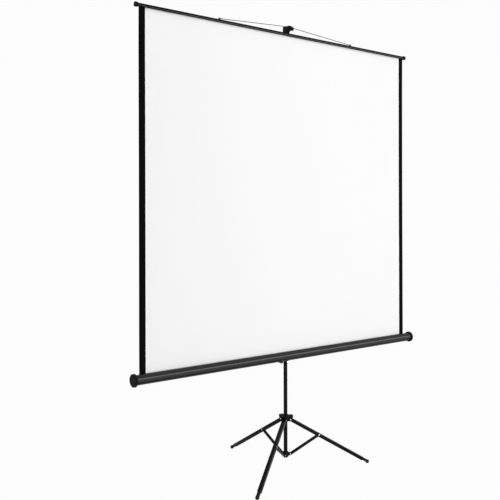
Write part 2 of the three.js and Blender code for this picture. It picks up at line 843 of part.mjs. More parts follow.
function rollerPlug() {
  const bore = axleRadius + seatGap;
  const inside = rollerRadius - rollerWall - seatGap;
  return turned([
    [bore, -plugDepth],
    [inside, -plugDepth],
    [inside, seatGap],
    [rollerRadius, seatGap],
    [rollerRadius, seatGap + plugFlangeDepth],
    [bore, seatGap + plugFlangeDepth],
    [bore, -plugDepth],
  ]).rotateY(quarter).translate(rollerHalfLength, 0, 0);
}

class Helix extends THREE.Curve {
  getPoint(share, target = new THREE.Vector3()) {
    const angle = 2 * Math.PI * springTurns * share;
    const x = springLength * share;
    return target.set(x, springRadius * Math.cos(angle), springRadius * Math.sin(angle));
  }
}

function torsionSpring() {
  const section = outline(Array.from({ length: curlSides }, (_, i) => {
    const angle = (2 * Math.PI * i) / curlSides;
    return [springWire * Math.cos(angle), springWire * Math.sin(angle)];
  }));
  const coil = new THREE.ExtrudeGeometry(section,
    { steps: springTurns * curlSteps, extrudePath: new Helix(), bevelEnabled: false });
  return coil.translate(rollerHalfLength - plugDepth - springWire - seatGap - springLength, 0, 0);
}

const rollerPipe = tube(rollerRadius, rollerRadius - rollerWall, -rollerHalfLength, rollerHalfLength);
const roll = tube(woundRadius, rollerRadius + seatGap, -sheetWidth / 2, sheetWidth / 2);
add(casing, 'roller_tube', rollerPipe.rotateY(quarter), zinc());
add(casing, 'wound_sheet', roll.rotateY(quarter), whiteSheet());
add(casing, 'roller_plug_right', rollerPlug(), blackPlastic());
add(casing, 'roller_plug_left', outward(rollerPlug().scale(-1, 1, 1)), blackPlastic());
const pin = rod(axleRadius, axleEnd - pinLength, axleEnd, smallSides);
const shaft = rod(axleRadius, axleEnd - shaftLength, axleEnd, smallSides);
add(casing, 'roller_pin', pin.rotateY(-quarter), steel());
add(casing, 'spring_shaft', shaft.rotateY(quarter), steel());
add(casing, 'torsion_spring', torsionSpring(), zinc());

// Sheet: the white field and its two printed black margins, from the roller's back up into the rail

const sheetTop = sheetRise - railRadius + railWall + railSlot;

function sheetStrip(from, to) {
  return block(from, to, sheetOffset - sheetThickness / 2, sheetOffset + sheetThickness / 2, 0, sheetTop);
}

add(casing, 'screen_sheet', sheetStrip(-whiteWidth / 2, whiteWidth / 2), whiteSheet());
for (const [name, side] of [['left', -1], ['right', 1]]) {
  const ends = [side * (whiteWidth / 2 + printGap), side * (sheetWidth / 2)];
  add(casing, `sheet_margin_${name}`, sheetStrip(Math.min(...ends), Math.max(...ends)), blackSheet());
}

// Top rail: a slotted tube that grips the sheet's top edge, with a cap on each end

const rail = new THREE.Group();
rail.position.set(0, sheetY, railHeight);
part.add(rail);

function topRail() {
  const halfSlot = railSlot / 2 / railRadius;
  const section = openRing(() => railRadius, railRadius - railWall,
    -quarter - halfSlot, -quarter + halfSlot, railSteps);
  return centred(section, 2 * (railHalfLength - railCapWall - seatGap), alongX);
}

function railCap() {
  const end = railHalfLength - railCapLength;
  return turned([
    [railRadius + seatGap, end],
    [railCapRadius, end],
    [railCapRadius, railHalfLength - railCapWall],
    [railCapRadius - railCapWall, railHalfLength],
    [0, railHalfLength],
    [0, railHalfLength - railCapWall],
    [railRadius + seatGap, railHalfLength - railCapWall],
    [railRadius + seatGap, end],
  ]).rotateY(quarter);
}

add(rail, 'top_rail', topRail(), blackPaint());
add(rail, 'rail_cap_right', railCap(), blackPlastic());
add(rail, 'rail_cap_left', outward(railCap().scale(-1, 1, 1)), blackPlastic());

// Bail: a wire handle hinged in two clips on the rail. It leans back so that its crest lies in the hook

function bailClip() {
  const height = railRadius + clipHeight;
  const shape = new THREE.Shape();
  shape.moveTo(-clipEar, railRadius * clipFootShare);
  shape.lineTo(clipEar, railRadius * clipFootShare);
  shape.absarc(0, height, clipEar, 0, Math.PI);
  shape.closePath();
  const plate = centred(shape, clipLength, alongX);
  const base = rod(railRadius + seatGap, -clipLength, clipLength).rotateY(quarter);
  const hole = rod(wireRadius + seatGap, -clipLength, clipLength, smallSides)
    .rotateY(quarter).translate(0, 0, height);
  return cut(plate, base, hole);
}

for (const [name, side] of [['left', -1], ['right', 1]]) {
  add(rail, `bail_clip_${name}`, bailClip(), steel()).position.x = side * bailHalfSpan;
}

function wire(from, to) {
  const [a, b] = [new THREE.Vector3(...from), new THREE.Vector3(...to)];
  const length = a.distanceTo(b);
  const turn = new THREE.Quaternion().setFromUnitVectors(axisY, b.clone().sub(a).normalize());
  const middle = a.clone().add(b).multiplyScalar(1 / 2);
  return new THREE.CylinderGeometry(wireRadius, wireRadius, length, smallSides / 2)
    .applyQuaternion(turn).translate(middle.x, middle.y, middle.z);
}

function bailWire() {
  const crest = railRadius + bailLift;
  const hinge = railRadius + clipHeight;
  const tail = bailHalfSpan + clipLength;
  const corner = bailHalfSpan - clipLength;
  const path = [
    [-tail, 0, hinge],
    [-corner, 0, hinge],
    [-bailCrestHalf, bailLean, crest],
    [bailCrestHalf, bailLean, crest],
    [corner, 0, hinge],
    [tail, 0, hinge],
  ];
  const runs = path.slice(1).map((point, i) => wire(path[i], point));
  const bends = path.slice(1, -1).map((point) =>
    new THREE.SphereGeometry(wireRadius, smallSides / 2, smallSides / 4).translate(...point));
  return joined(...runs, ...bends);
}

add(rail, 'bail_wire', bailWire(), steel());

// The part's own origin is the floor point under the middle of its box, so the mast stands forward of it
const box = new THREE.Box3().setFromObject(part, true);
part.position.y = -(box.min.y + box.max.y) / 2;

export default part;
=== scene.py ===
import json
import math

import bmesh
import bpy
from bpy.props import FloatProperty, FloatVectorProperty, IntProperty, PointerProperty
from bpy.types import Operator, Panel, PropertyGroup
from mathutils import Matrix, Vector, noise


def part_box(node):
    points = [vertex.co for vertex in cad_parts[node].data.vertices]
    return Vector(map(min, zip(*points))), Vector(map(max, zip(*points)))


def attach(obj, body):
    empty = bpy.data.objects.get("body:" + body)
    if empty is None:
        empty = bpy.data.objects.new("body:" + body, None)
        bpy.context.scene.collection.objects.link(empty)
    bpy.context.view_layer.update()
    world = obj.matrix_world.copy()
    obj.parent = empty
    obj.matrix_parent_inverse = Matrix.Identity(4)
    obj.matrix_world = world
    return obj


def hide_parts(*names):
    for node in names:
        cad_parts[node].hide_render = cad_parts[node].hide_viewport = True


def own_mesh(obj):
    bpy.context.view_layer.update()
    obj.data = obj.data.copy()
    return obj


bl_info = {
    "name": "Tripod projector screen",
    "version": (1, 0, 0),
    "blender": (4, 5, 0),
    "location": "3D View > Sidebar > Screen",
    "description": "Builds the visible pieces of a tripod projector screen round its CAD model",
    "category": "Add Mesh",
}

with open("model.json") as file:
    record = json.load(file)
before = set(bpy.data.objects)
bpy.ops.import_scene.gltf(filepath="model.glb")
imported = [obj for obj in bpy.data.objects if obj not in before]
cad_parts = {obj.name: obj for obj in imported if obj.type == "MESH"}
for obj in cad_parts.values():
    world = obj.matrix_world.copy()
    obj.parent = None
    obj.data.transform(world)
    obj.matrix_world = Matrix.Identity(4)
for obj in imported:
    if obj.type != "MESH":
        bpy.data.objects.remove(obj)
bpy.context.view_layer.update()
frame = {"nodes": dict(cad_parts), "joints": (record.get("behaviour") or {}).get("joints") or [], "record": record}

X = Vector((1, 0, 0))
Y = Vector((0, 1, 0))
Z = Vector((0, 0, 1))
SIDES = ("left", "right", "rear")
WAYS = {"left": -1, "right": 1}

# Turn of the view, which is taken from the left of the screen's face
HEADING = math.radians(39.26)

# Distances under which two corners are one, in new pieces and in copies of CAD nodes, the turn
# between faces that still counts as flat, and the gap between pieces that sit on one another
SAME_POINT = 1e-6
SAME_CAD_POINT = 2e-6
FLAT = math.radians(0.6)
SEAT_GAP = 0.0003


# Places read from the frame


def low(node):
    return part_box(node)[0]


def high(node):
    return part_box(node)[1]


def middle(node):
    return (low(node) + high(node)) / 2


def size(node):
    return high(node) - low(node)


mast_axis = middle("mast_tube")
rail_axis = middle("rail_cap_right")
case_axis = middle("roller_tube")
sheet_plane = middle("screen_sheet").y


# Sizes and colours that a user would change


def length(name, description, default):
    return FloatProperty(
        name=name, description=description, default=default, min=0, subtype="DISTANCE", unit="LENGTH"
    )


def share(name, description, default, top=1.0):
    return FloatProperty(
        name=name, description=description, default=default, min=0, max=top, subtype="FACTOR"
    )


def power(name, description, default):
    return FloatProperty(name=name, description=description, default=default, min=0, unit="POWER")


def colour(name, description, default):
    return FloatVectorProperty(
        name=name, description=description, default=default, min=0, max=1, size=3, subtype="COLOR"
    )


def count(name, description, default):
    return IntProperty(name=name, description=description, default=default, min=3)


class ScreenColours(PropertyGroup):
    paint: colour("Paint", "Black coat of the mast, legs, struts and rail", (0.004, 0.004, 0.0043))
    # Painted highlight: a greyer band that stands in for light caught on the rail's underside
    lip: colour("Rail lip", "Greyer band along the rail, above its slot", (0.11, 0.11, 0.112))
    lacquer: colour("Case lacquer", "Charcoal lacquer of the case", (0.016, 0.016, 0.0166))
    plastic: colour("Plastic", "Moulded hub, collars, caps and hook", (0.005, 0.005, 0.0053))
    rubber: colour("Rubber", "Boots on the legs", (0.008, 0.008, 0.008))
    cloth: colour("Sheet", "White front of the sheet", (0.9, 0.9, 0.9))
    margin: colour("Margin", "Printed margins down the sides of the sheet", (0.003, 0.003, 0.0033))
    backing: colour("Backing", "Black backing of the sheet", (0.011, 0.011, 0.0117))
    steel: colour("Steel", "Zinc-plated pins and clips", (0.62, 0.63, 0.65))
    wire: colour("Wire", "Blackened drawn wire of the bail", (0.03, 0.03, 0.032))
    chrome: colour("Chrome", "Head of the clamp screw", (0.86, 0.86, 0.87))
    dust: colour("Dust", "Pale dust on the boots and the legs", (0.3, 0.29, 0.27))


class ScreenSizes(PropertyGroup):
    edge: length("Edge radius", "Rounding of moulded and pressed edges", 0.0005)
    fine_edge: length("Fine edge radius", "Rounding of turned and cut edges", 0.0003)
    round_sides: count("Round sides", "Sides of tubes and turned pieces", 64)
    pin_sides: count("Pin sides", "Sides of pins and screws", 32)
    mast_wall: length("Mast wall", "Wall of the mast tube", 0.0015)
    rod_wall: length("Rod wall", "Wall of the extension rod", 0.0012)
    rail_wall: length("Rail wall", "Wall of the top rail", 0.0014)
    case_wall: length("Case wall", "Wall of the case shell", 0.0016)
    ball_height: length("Boot ball height", "Height of the boot's ball above the floor", 0.011)
    ball_radius: length("Boot ball radius", "Radius of the boot's ball", 0.012)
    sheet_wave: length("Sheet wave", "Depth of the faint waves in the hanging sheet", 0.0016)
    roll_pitch: length("Roll pitch", "Growth of the wound sheet in each turn", 0.0004)
    wire_radius: length("Wire radius", "Radius of the bail's wire", 0.002)
    wire_bend: length("Wire bend", "How far each bend of the bail reaches along the wire", 0.006)
    wire_knee: length("Wire knee", "How far inside its clip the bail's wire turns up", 0.009)
    crest_half: length("Crest", "Half the level stretch of wire that lies in the hook", 0.025)
    knurls: count("Knurls", "Flutes round the clamp screw's head", 20)


class StudioSettings(PropertyGroup):
    lens: FloatProperty(name="Lens", description="Focal length", default=53.31, min=1, unit="CAMERA")
    key: power("Key light", "Power of the soft light from the front", 232)
    fill: power("Fill light", "Power of the soft light from the right", 36)
    top: power("Top light", "Power of the soft light from above", 70)
    ambient: share("Ambient", "Strength of the plain light from all round", 0.36, 2.0)
    whiteness: share("Whiteness", "How far the floor shows as plain white to the camera", 0.97)


# Node materials


class Socket:
    """A value in a node tree that can be used in sums."""

    def __init__(self, nodes, socket):
        self.nodes = nodes
        self.socket = socket

    def _sum(self, operation, first, second):
        return self.nodes.node("ShaderNodeMath", {"operation": operation}, {0: first, 1: second})

    def __add__(self, other):
        return self._sum("ADD", self, other)

    def __radd__(self, other):
        return self._sum("ADD", other, self)

    def __sub__(self, other):
        return self._sum("SUBTRACT", self, other)

    def __rsub__(self, other):
        return self._sum("SUBTRACT", other, self)

    def __mul__(self, other):
        return self._sum("MULTIPLY", self, other)

    def __rmul__(self, other):
        return self._sum("MULTIPLY", other, self)

    def __gt__(self, other):
        return self._sum("GREATER_THAN", self, other)

    def __lt__(self, other):
        return self._sum("LESS_THAN", self, other)

    def __abs__(self):
        return self.nodes.node("ShaderNodeMath", {"operation": "ABSOLUTE"}, {0: self})


class Nodes:
    """The node tree of a material or of the world."""

    def __init__(self, tree):
        self.tree = tree

    def node(self, kind, settings=None, inputs=None, output=0):
        made = self.tree.nodes.new(kind)
        for name, value in (settings or {}).items():
            setattr(made, name, value)
        for name, value in (inputs or {}).items():
            self.join(value, made.inputs[name])
        return Socket(self, made.outputs[output])

    def join(self, value, target):
        if isinstance(value, Socket):
            self.tree.links.new(value.socket, target)
        elif target.type == "RGBA":
            target.default_value = (*value[:3], 1)
        else:
            target.default_value = value

    def seen(self):
        """1 for what the camera sees, also in a reflection or through glass, and otherwise 0."""
        camera, mirrored, through = (
            self.node("ShaderNodeLightPath", output=f"Is {ray} Ray")
            for ray in ("Camera", "Glossy", "Transmission")
        )
        return camera + mirrored + through


class Finish(Nodes):
    """One material: its nodes, and the shader that they feed."""

    def __init__(self, name):
        self.material = bpy.data.materials.new(name)
        self.material.use_nodes = True
        super().__init__(self.material.node_tree)
        self.shader = self.tree.nodes["Principled BSDF"]

    def feed(self, **sockets):
        for name, value in sockets.items():
            self.join(value, self.shader.inputs[name.replace("_", " ").title().replace("Ior", "IOR")])
        return self.material

    def place(self, stretch=(1, 1, 1)):
        here = self.node("ShaderNodeTexCoord", output="Object")
        return self.node("ShaderNodeMapping", inputs={"Vector": here, "Scale": stretch})

    def axis(self, letter):
        here = self.node("ShaderNodeTexCoord", output="Object")
        return self.node("ShaderNodeSeparateXYZ", inputs={0: here}, output=letter)

    def mottle(self, scale, detail=2.0, stretch=(1, 1, 1)):
        inputs = {"Vector": self.place(stretch), "Scale": scale, "Detail": detail}
        return self.node("ShaderNodeTexNoise", inputs=inputs)

    def cells(self, scale):
        return self.node("ShaderNodeTexVoronoi", inputs={"Vector": self.place(), "Scale": scale})

    def limit(self, value, start, end):
        """0 where a value is at its start or before it, and 1 from its end on."""
        inputs = {"Value": value, "From Min": start, "From Max": end}
        return self.node("ShaderNodeMapRange", inputs=inputs)

    def mix(self, factor, first, second):
        inputs = {0: factor, 6: first, 7: second}
        return self.node("ShaderNodeMix", {"data_type": "RGBA"}, inputs, output=2)

    def bump(self, height, strength, distance):
        inputs = {"Height": height, "Strength": strength, "Distance": distance}
        return self.node("ShaderNodeBump", inputs=inputs)


def paler(tint, amount):
    return tuple(min(1.0, channel + amount) for channel in tint)


def powder_coat(colours):
    finish = Finish("powder_coat")
    peel = finish.mottle(scale=1100, detail=2)
    cloud = finish.mottle(scale=12, detail=3)
    scuffs = finish.limit(finish.mottle(scale=260, detail=6, stretch=(1, 1, 0.25)), start=0.68, end=0.76)
    base = finish.mix(cloud * 0.4, colours.paint, paler(colours.paint, 0.006))
    return finish.feed(
        base_color=finish.mix(scuffs * 0.12, base, paler(colours.paint, 0.03)),
        specular_ior_level=0.07,
        roughness=0.26 + cloud * 0.04 + scuffs * 0.1,
        normal=finish.bump(peel, strength=0.08, distance=0.0003),
    )


def rail_coat(colours):
    finish = Finish("rail_coat")
    peel = finish.mottle(scale=1100, detail=2)
    cloud = finish.mottle(scale=35, detail=4, stretch=(0.2, 1, 1))
    # Painted highlight: the band between the rail's middle and its slot is greyer, standing in for light that the
    # rail's underside catches, fuller in patches
    height = finish.axis("Z") - rail_axis.z
    below_middle = finish.limit(height, start=-0.0012, end=-0.0024)
    above_slot = finish.limit(height, start=-0.0068, end=-0.0054)
    lip = below_middle * above_slot
    wear_and_sheen = finish.limit(finish.mottle(scale=120, detail=5, stretch=(0.1, 1, 1)), start=0.35, end=0.7)
    base = finish.mix(cloud * 0.5, colours.paint, paler(colours.paint, 0.006))
    return finish.feed(
        base_color=finish.mix(lip * (0.75 + wear_and_sheen * 0.25), base, colours.lip),
        specular_ior_level=0.01,
        roughness=0.42 + cloud * 0.1,
        normal=finish.bump(peel, strength=0.2, distance=0.0004),
    )


def charcoal_lacquer(colours):
    finish = Finish("charcoal_lacquer")
    flake = finish.limit(finish.cells(scale=5200), start=0.0, end=0.7)
    draw = finish.mottle(scale=420, detail=3, stretch=(0.006, 1, 1))
    cloud = finish.mottle(scale=9, detail=4, stretch=(0.3, 1, 1))
    fine = finish.mottle(scale=300, detail=5, stretch=(0.05, 1, 1))
    scratches = finish.limit(fine, start=0.67, end=0.73)
    # Painted light on the front: a painted highlight along its shoulder, the front flats below it painted paler as
    # if lit, and painted shade underneath
    height = finish.axis("Z") - case_axis.z
    shoulder = 0.0092
    from_shoulder = abs(height - shoulder)
    front = finish.axis("Y") < case_axis.y
    painted_under_shade = finish.limit(height, start=-0.007, end=-0.011)
    below_shoulder = finish.limit(height, start=shoulder, end=shoulder - 0.001)
    painted_front_light = below_shoulder * front * (0.7 + cloud * 0.6)
    shoulder_highlight = finish.limit(from_shoulder, start=0.0034, end=0.0006) * front * (0.6 + cloud * 0.6)
    base = finish.mix(flake * 0.5, colours.lacquer, paler(colours.lacquer, 0.016))
    base = finish.mix(painted_front_light, base, paler(colours.lacquer, 0.018))
    base = finish.mix(painted_under_shade, base, paler(colours.lacquer, -0.01))
    base = finish.mix(shoulder_highlight, base, paler(colours.lacquer, 0.13))
    return finish.feed(
        base_color=finish.mix(scratches * 0.12, base, paler(colours.lacquer, 0.1)),
        metallic=0.1,
        specular_ior_level=0.07,
        roughness=0.3 + cloud * 0.12 + draw * 0.06,
        normal=finish.bump(draw, strength=0.18, distance=0.0004),
    )


def moulded_plastic(colours):
    finish = Finish("moulded_plastic")
    grain = finish.mottle(scale=2300, detail=3)
    cloud = finish.mottle(scale=45, detail=4)
    rubs = finish.limit(finish.mottle(scale=150, detail=6), start=0.62, end=0.72)
    return finish.feed(
        base_color=finish.mix(rubs * 0.3 + cloud * 0.15, colours.plastic, paler(colours.plastic, 0.014)),
        specular_ior_level=0.05,
        roughness=0.46 + cloud * 0.1 - rubs * 0.1,
        normal=finish.bump(grain, strength=0.35, distance=0.0003),
    )


def plated_steel(colours):
    finish = Finish("plated_steel")
    spangle = finish.cells(scale=900)
    smudge = finish.mottle(scale=240, detail=5)
    return finish.feed(
        base_color=finish.mix(spangle * 0.5, colours.steel, paler(colours.steel, -0.12)),
        metallic=1.0,
        roughness=0.2 + smudge * 0.2,
        normal=finish.bump(smudge, strength=0.1, distance=0.0002),
    )


def drawn_wire(colours):
    finish = Finish("drawn_wire")
    die_lines = finish.mottle(scale=1600, detail=2, stretch=(0.01, 1, 1))
    wear_and_sheen = finish.limit(finish.mottle(scale=70, detail=5), start=0.5, end=0.75)
    return finish.feed(
        base_color=finish.mix(wear_and_sheen * 0.5, colours.wire, paler(colours.wire, 0.06)),
        metallic=0.8,
        roughness=0.36 + wear_and_sheen * 0.16,
        normal=finish.bump(die_lines, strength=0.2, distance=0.0002),
    )


def bright_chrome(colours):
    finish = Finish("bright_chrome")
    smudge = finish.mottle(scale=320, detail=5)
    return finish.feed(
        base_color=finish.mix(smudge * 0.3, colours.chrome, paler(colours.chrome, -0.12)),
        metallic=1.0,
        roughness=0.06 + smudge * 0.1,
        normal=finish.bump(smudge, strength=0.05, distance=0.0002),
    )


def soft_rubber(colours):
    finish = Finish("soft_rubber")
    pores = finish.mottle(scale=1900, detail=4)
    cloud = finish.mottle(scale=90, detail=5)
    near_floor = finish.limit(finish.axis("Z"), start=0.016, end=0.0)
    dust = near_floor * finish.limit(cloud, start=0.35, end=0.7)
    return finish.feed(
        base_color=finish.mix(dust * 0.35 + cloud * 0.04, colours.rubber, colours.dust),
        specular_ior_level=0.1,
        roughness=0.68 + cloud * 0.2,
        normal=finish.bump(pores, strength=0.4, distance=0.0004),
    )


def weave(finish):
    threads = [
        finish.node(
            "ShaderNodeTexWave", {"bands_direction": way},
            {"Vector": finish.place(), "Scale": 380, "Distortion": 0.6}, output=1,
        )
        for way in "XZ"
    ]
    return threads[0] + threads[1]


def sheet_front(colours):
    finish = Finish("sheet_front")
    edge = (high("screen_sheet").x - low("screen_sheet").x) / 2
    margin = abs(finish.axis("X")) > edge
    pearl = finish.mottle(scale=2600, detail=2)
    cloud = finish.mottle(scale=1.6, detail=4)
    white = finish.mix(cloud * 0.35 + pearl * 0.25, colours.cloth, paler(colours.cloth, -0.03))
    return finish.feed(
        base_color=finish.mix(margin, white, colours.margin),
        specular_ior_level=0.02,
        roughness=0.86 - margin * 0.12 + pearl * 0.08,
        normal=finish.bump(weave(finish) * 0.5 + pearl, strength=0.12, distance=0.0003),
    )


def sheet_back(colours):
    finish = Finish("sheet_back")
    cloud = finish.mottle(scale=14, detail=5)
    return finish.feed(
        base_color=finish.mix(cloud * 0.6, colours.backing, paler(colours.backing, 0.012)),
        specular_ior_level=0.12,
        roughness=0.62 + cloud * 0.16,
        normal=finish.bump(weave(finish), strength=0.2, distance=0.0003),
    )


def mill_aluminium(colours):
    finish = Finish("mill_aluminium")
    lines = finish.mottle(scale=700, detail=3, stretch=(0.02, 1, 1))
    return finish.feed(
        base_color=finish.mix(lines * 0.6, paler(colours.steel, -0.1), paler(colours.steel, -0.25)),
        metallic=1.0,
        roughness=0.32 + lines * 0.16,
        normal=finish.bump(lines, strength=0.15, distance=0.0002),
    )


def oiled_steel(colours):
    finish = Finish("oiled_steel")
    oil = finish.mottle(scale=160, detail=5)
    return finish.feed(
        base_color=finish.mix(oil * 0.7, paler(colours.steel, -0.35), paler(colours.steel, -0.5)),
        metallic=1.0,
        roughness=0.28 + oil * 0.2,
        normal=finish.bump(oil, strength=0.1, distance=0.0002),
    )


FINISHES = {
    "frame_paint": powder_coat,
    "case_lacquer": charcoal_lacquer,
    "black_plastic": moulded_plastic,
    "pin_steel": plated_steel,
    "black_wire": drawn_wire,
    "screw_chrome": bright_chrome,
    "boot_rubber": soft_rubber,
    "sheet_white": sheet_front,
    "sheet_black": sheet_back,
    "roller_metal": mill_aluminium,
    "spring_steel": oiled_steel,
}


def finish_for(slot):
    name = FINISHES[slot].__name__
    return bpy.data.materials.get(name) or FINISHES[slot](bpy.context.scene.screen_colours)


# Making pieces


def body_of_node(node):
    return next(body for body, nodes in frame["record"]["behaviour"]["bodies"].items() if node in nodes)


def slot_of_node(node):
    return next(part["material_slot"] for part in frame["record"]["subparts"] if part["node"] == node)


def piece(name, bm, node, *more_nodes, smooth=35):
    """Makes a bmesh one piece that stands for its CAD nodes, on their body and in their finish."""
    mesh = bpy.data.meshes.new(name)
    bm.to_mesh(mesh)
    bm.free()
    mesh.polygons.foreach_set("use_smooth", [True] * len(mesh.polygons))
    mesh.set_sharp_from_angle(angle=math.radians(smooth))
    made = bpy.data.objects.new(name, mesh)
    bpy.context.scene.collection.objects.link(made)
    slot = slot_of_node(node)
    mesh.materials.append(finish_for(slot))
    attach(made, body_of_node(node))
    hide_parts(node, *more_nodes)
    return made


def keep_node(node):
    """Gives a CAD node that stays in view its finish."""
    shown = frame["nodes"][node]
    shown.data.materials.clear()
    shown.data.materials.append(finish_for(slot_of_node(node)))


def corners_of(geometry):
    return [item for item in geometry if isinstance(item, bmesh.types.BMVert)]


def edges_of(geometry):
    return [item for item in geometry if isinstance(item, bmesh.types.BMEdge)]


def line_of(bm, points):
    corners = [bm.verts.new(point) for point in points]
    return corners, [bm.edges.new(pair) for pair in zip(corners, corners[1:])]


def drawn_out(bm, edges, way):
    """Draws edges out into faces along a vector."""
    grown = bmesh.ops.extrude_edge_only(bm, edges=edges)["geom"]
    bmesh.ops.translate(bm, verts=corners_of(grown), vec=way)


def across(axis):
    return X if abs(axis.x) < 0.5 else Z


def turned(profile, centre, axis, sides):
    """Spins (radius, distance along the axis) pairs about an axis through a point."""
    bm = bmesh.new()
    out = (across(axis) - axis * across(axis).dot(axis)).normalized()
    corners, edges = line_of(bm, [centre + out * radius + axis * along for radius, along in profile])
    bmesh.ops.spin(
        bm, geom=corners + edges, cent=centre, axis=axis, angle=math.tau, steps=sides, use_merge=True
    )
    bmesh.ops.remove_doubles(bm, verts=bm.verts, dist=SAME_POINT)
    bmesh.ops.recalc_face_normals(bm, faces=bm.faces)
    return bm


def rounded(bm, width, sharper):
    """Rounds the edges of a bmesh that are sharper than an angle."""
    turn = math.radians(sharper)
    edges = [e for e in bm.edges if len(e.link_faces) == 2 and e.calc_face_angle(0) > turn]
    bmesh.ops.bevel(
        bm, geom=edges, offset=width, offset_type="OFFSET", affect="EDGES", segments=2,
        profile=0.5, clamp_overlap=True, material=-1,
    )
    return bm


def fair_copy(node, width, sharper=25):
    """A copy of a CAD node with its flat faces whole and its edges rounded."""
    bm = bmesh.new()
    bm.from_mesh(frame["nodes"][node].data)
    bmesh.ops.remove_doubles(bm, verts=bm.verts, dist=SAME_CAD_POINT)
    bmesh.ops.dissolve_limit(
        bm, angle_limit=FLAT, use_dissolve_boundaries=False, verts=bm.verts, edges=bm.edges
    )
    return rounded(bm, width, sharper)


def tube_profile(outer, wall, start, end, edge):
    inner = outer - wall
    return [
        (inner, start), (outer - edge, start), (outer, start + edge), (outer, end - edge),
        (outer - edge, end), (inner, end), (inner, start),
    ]


class SCREEN_OT_tubes(Operator):
    """Mast tube, its foot plug, and the extension rod with its guide plug"""

    bl_idname = "screen.tubes"
    bl_label = "Mast and rod"

    def execute(self, context):
        sizes = context.scene.screen_sizes
        for node, wall in (("mast_tube", sizes.mast_wall), ("extension_rod", sizes.rod_wall)):
            centre = middle(node)
            half = size(node).z / 2
            profile = tube_profile(size(node).x / 2, wall, -half, half, sizes.fine_edge)
            piece(f"{node}_shape", turned(profile, centre, Z, sizes.round_sides), node)
        for node in ("mast_foot_plug", "rod_guide_plug"):
            piece(f"{node}_shape", fair_copy(node, sizes.fine_edge, sharper=40), node)
        return {"FINISHED"}


class SCREEN_OT_stand(Operator):
    """Hub, strut collar, legs and struts of the folding tripod"""

    bl_idname = "screen.stand"
    bl_label = "Tripod"

    def execute(self, context):
        sizes = context.scene.screen_sizes
        for node in ("leg_hub", "strut_collar"):
            piece(f"{node}_shape", fair_copy(node, sizes.edge), node)
        for side in SIDES:
            for node in (f"leg_{side}", f"strut_{side}"):
                piece(f"{node}_shape", fair_copy(node, sizes.fine_edge, sharper=40), node)
        return {"FINISHED"}


class SCREEN_OT_boots(Operator):
    """Rubber boots: a ball with a flat sole on a neck that plugs the leg's end"""

    bl_idname = "screen.boots"
    bl_label = "Boots"
    # Size of the cells that blend ball and neck, and how often the blend is smoothed
    voxel = 0.0006
    softening = 10

    def execute(self, context):
        sizes = context.scene.screen_sizes
        for side in SIDES:
            bm = bmesh.new()
            bm.from_mesh(frame["nodes"][f"foot_{side}"].data)
            bmesh.ops.remove_doubles(bm, verts=bm.verts, dist=SAME_CAD_POINT)
            self.ball(bm, sizes, side)
            made = piece(f"foot_{side}_shape", bm, f"foot_{side}", smooth=40)
            blend = made.modifiers.new("blend", "REMESH")
            blend.mode = "VOXEL"
            blend.voxel_size = self.voxel
            blend.use_smooth_shade = True
            soften = made.modifiers.new("soften", "SMOOTH")
            soften.factor = 0.5
            soften.iterations = self.softening
        return {"FINISHED"}

    def ball(self, bm, sizes, side):
        """Adds a ball on the leg's line, cut off flat at the floor."""
        pivot = middle(f"hub_pin_{side}")
        along = (middle(f"strut_pin_{side}") - pivot).normalized()
        centre = pivot + along * ((sizes.ball_height - pivot.z) / along.z)
        globe = bmesh.ops.create_uvsphere(
            bm, u_segments=40, v_segments=24, radius=sizes.ball_radius, matrix=Matrix.Translation(centre)
        )["verts"]
        edges = {edge for corner in globe for edge in corner.link_edges}
        faces = {face for corner in globe for face in corner.link_faces}
        cut = bmesh.ops.bisect_plane(
            bm, geom=[*globe, *edges, *faces], plane_co=(0, 0, 0), plane_no=(0, 0, -1), clear_outer=True
        )
        bmesh.ops.edgeloop_fill(bm, edges=edges_of(cut["geom_cut"]))


class SCREEN_OT_pins(Operator):
    """Domed pins of the hub, the collar, the struts and the lever"""

    bl_idname = "screen.pins"
    bl_label = "Pins"
    # Rise of a dome as a share of its radius, degrees between its rings, and how near to the
    # axis a corner counts as on it
    dome_share = 0.31
    dome_step = 15
    on_axis = 0.0001

    def execute(self, context):
        sizes = context.scene.screen_sizes
        for group in ("collar_pin", "hub_pin", "strut_pin"):
            for side in SIDES:
                self.pin(sizes, f"{group}_{side}", self.pin_axis(side))
        self.pin(sizes, "lever_pin", Y)
        pivot = fair_copy("case_pivot_pin", sizes.fine_edge, sharper=40)
        piece("case_pivot_pin_shape", pivot, "case_pivot_pin")
        return {"FINISHED"}

    def pin_axis(self, side):
        outward = middle(f"hub_pin_{side}") - mast_axis
        return Vector((-outward.y, outward.x, 0)).normalized()

    def pin(self, sizes, node, axis):
        centre = middle(node)
        points = [vertex.co - centre for vertex in frame["nodes"][node].data.vertices]
        reach = max(abs(point.dot(axis)) for point in points)
        radii = [(point - axis * point.dot(axis)).length for point in points]
        head = max(radii)
        shank = min(radius for radius in radii if radius > self.on_axis)
        rise = head * self.dome_share
        seat = reach - rise
        turns = [math.radians(degrees) for degrees in range(0, 90, self.dome_step)]
        dome = [(head * math.cos(turn), seat + rise * math.sin(turn)) for turn in turns]
        half = [(shank, 0), (shank, seat), *dome, (0, reach)]
        profile = [(radius, -along) for radius, along in reversed(half)] + half[1:]
        piece(f"{node}_shape", turned(profile, centre, axis, sizes.pin_sides), node)


class SCREEN_OT_mast_head(Operator):
    """Clamp collar, the knob that locks the rod, and the hook"""

    bl_idname = "screen.mast_head"
    bl_label = "Clamp and hook"

    def execute(self, context):
        sizes = context.scene.screen_sizes
        for node in ("clamp_collar", "rod_lock_knob"):
            piece(f"{node}_shape", fair_copy(node, sizes.edge, sharper=30), node)
        piece("top_hook_shape", fair_copy("top_hook", sizes.edge * 2, sharper=30), "top_hook")
        return {"FINISHED"}


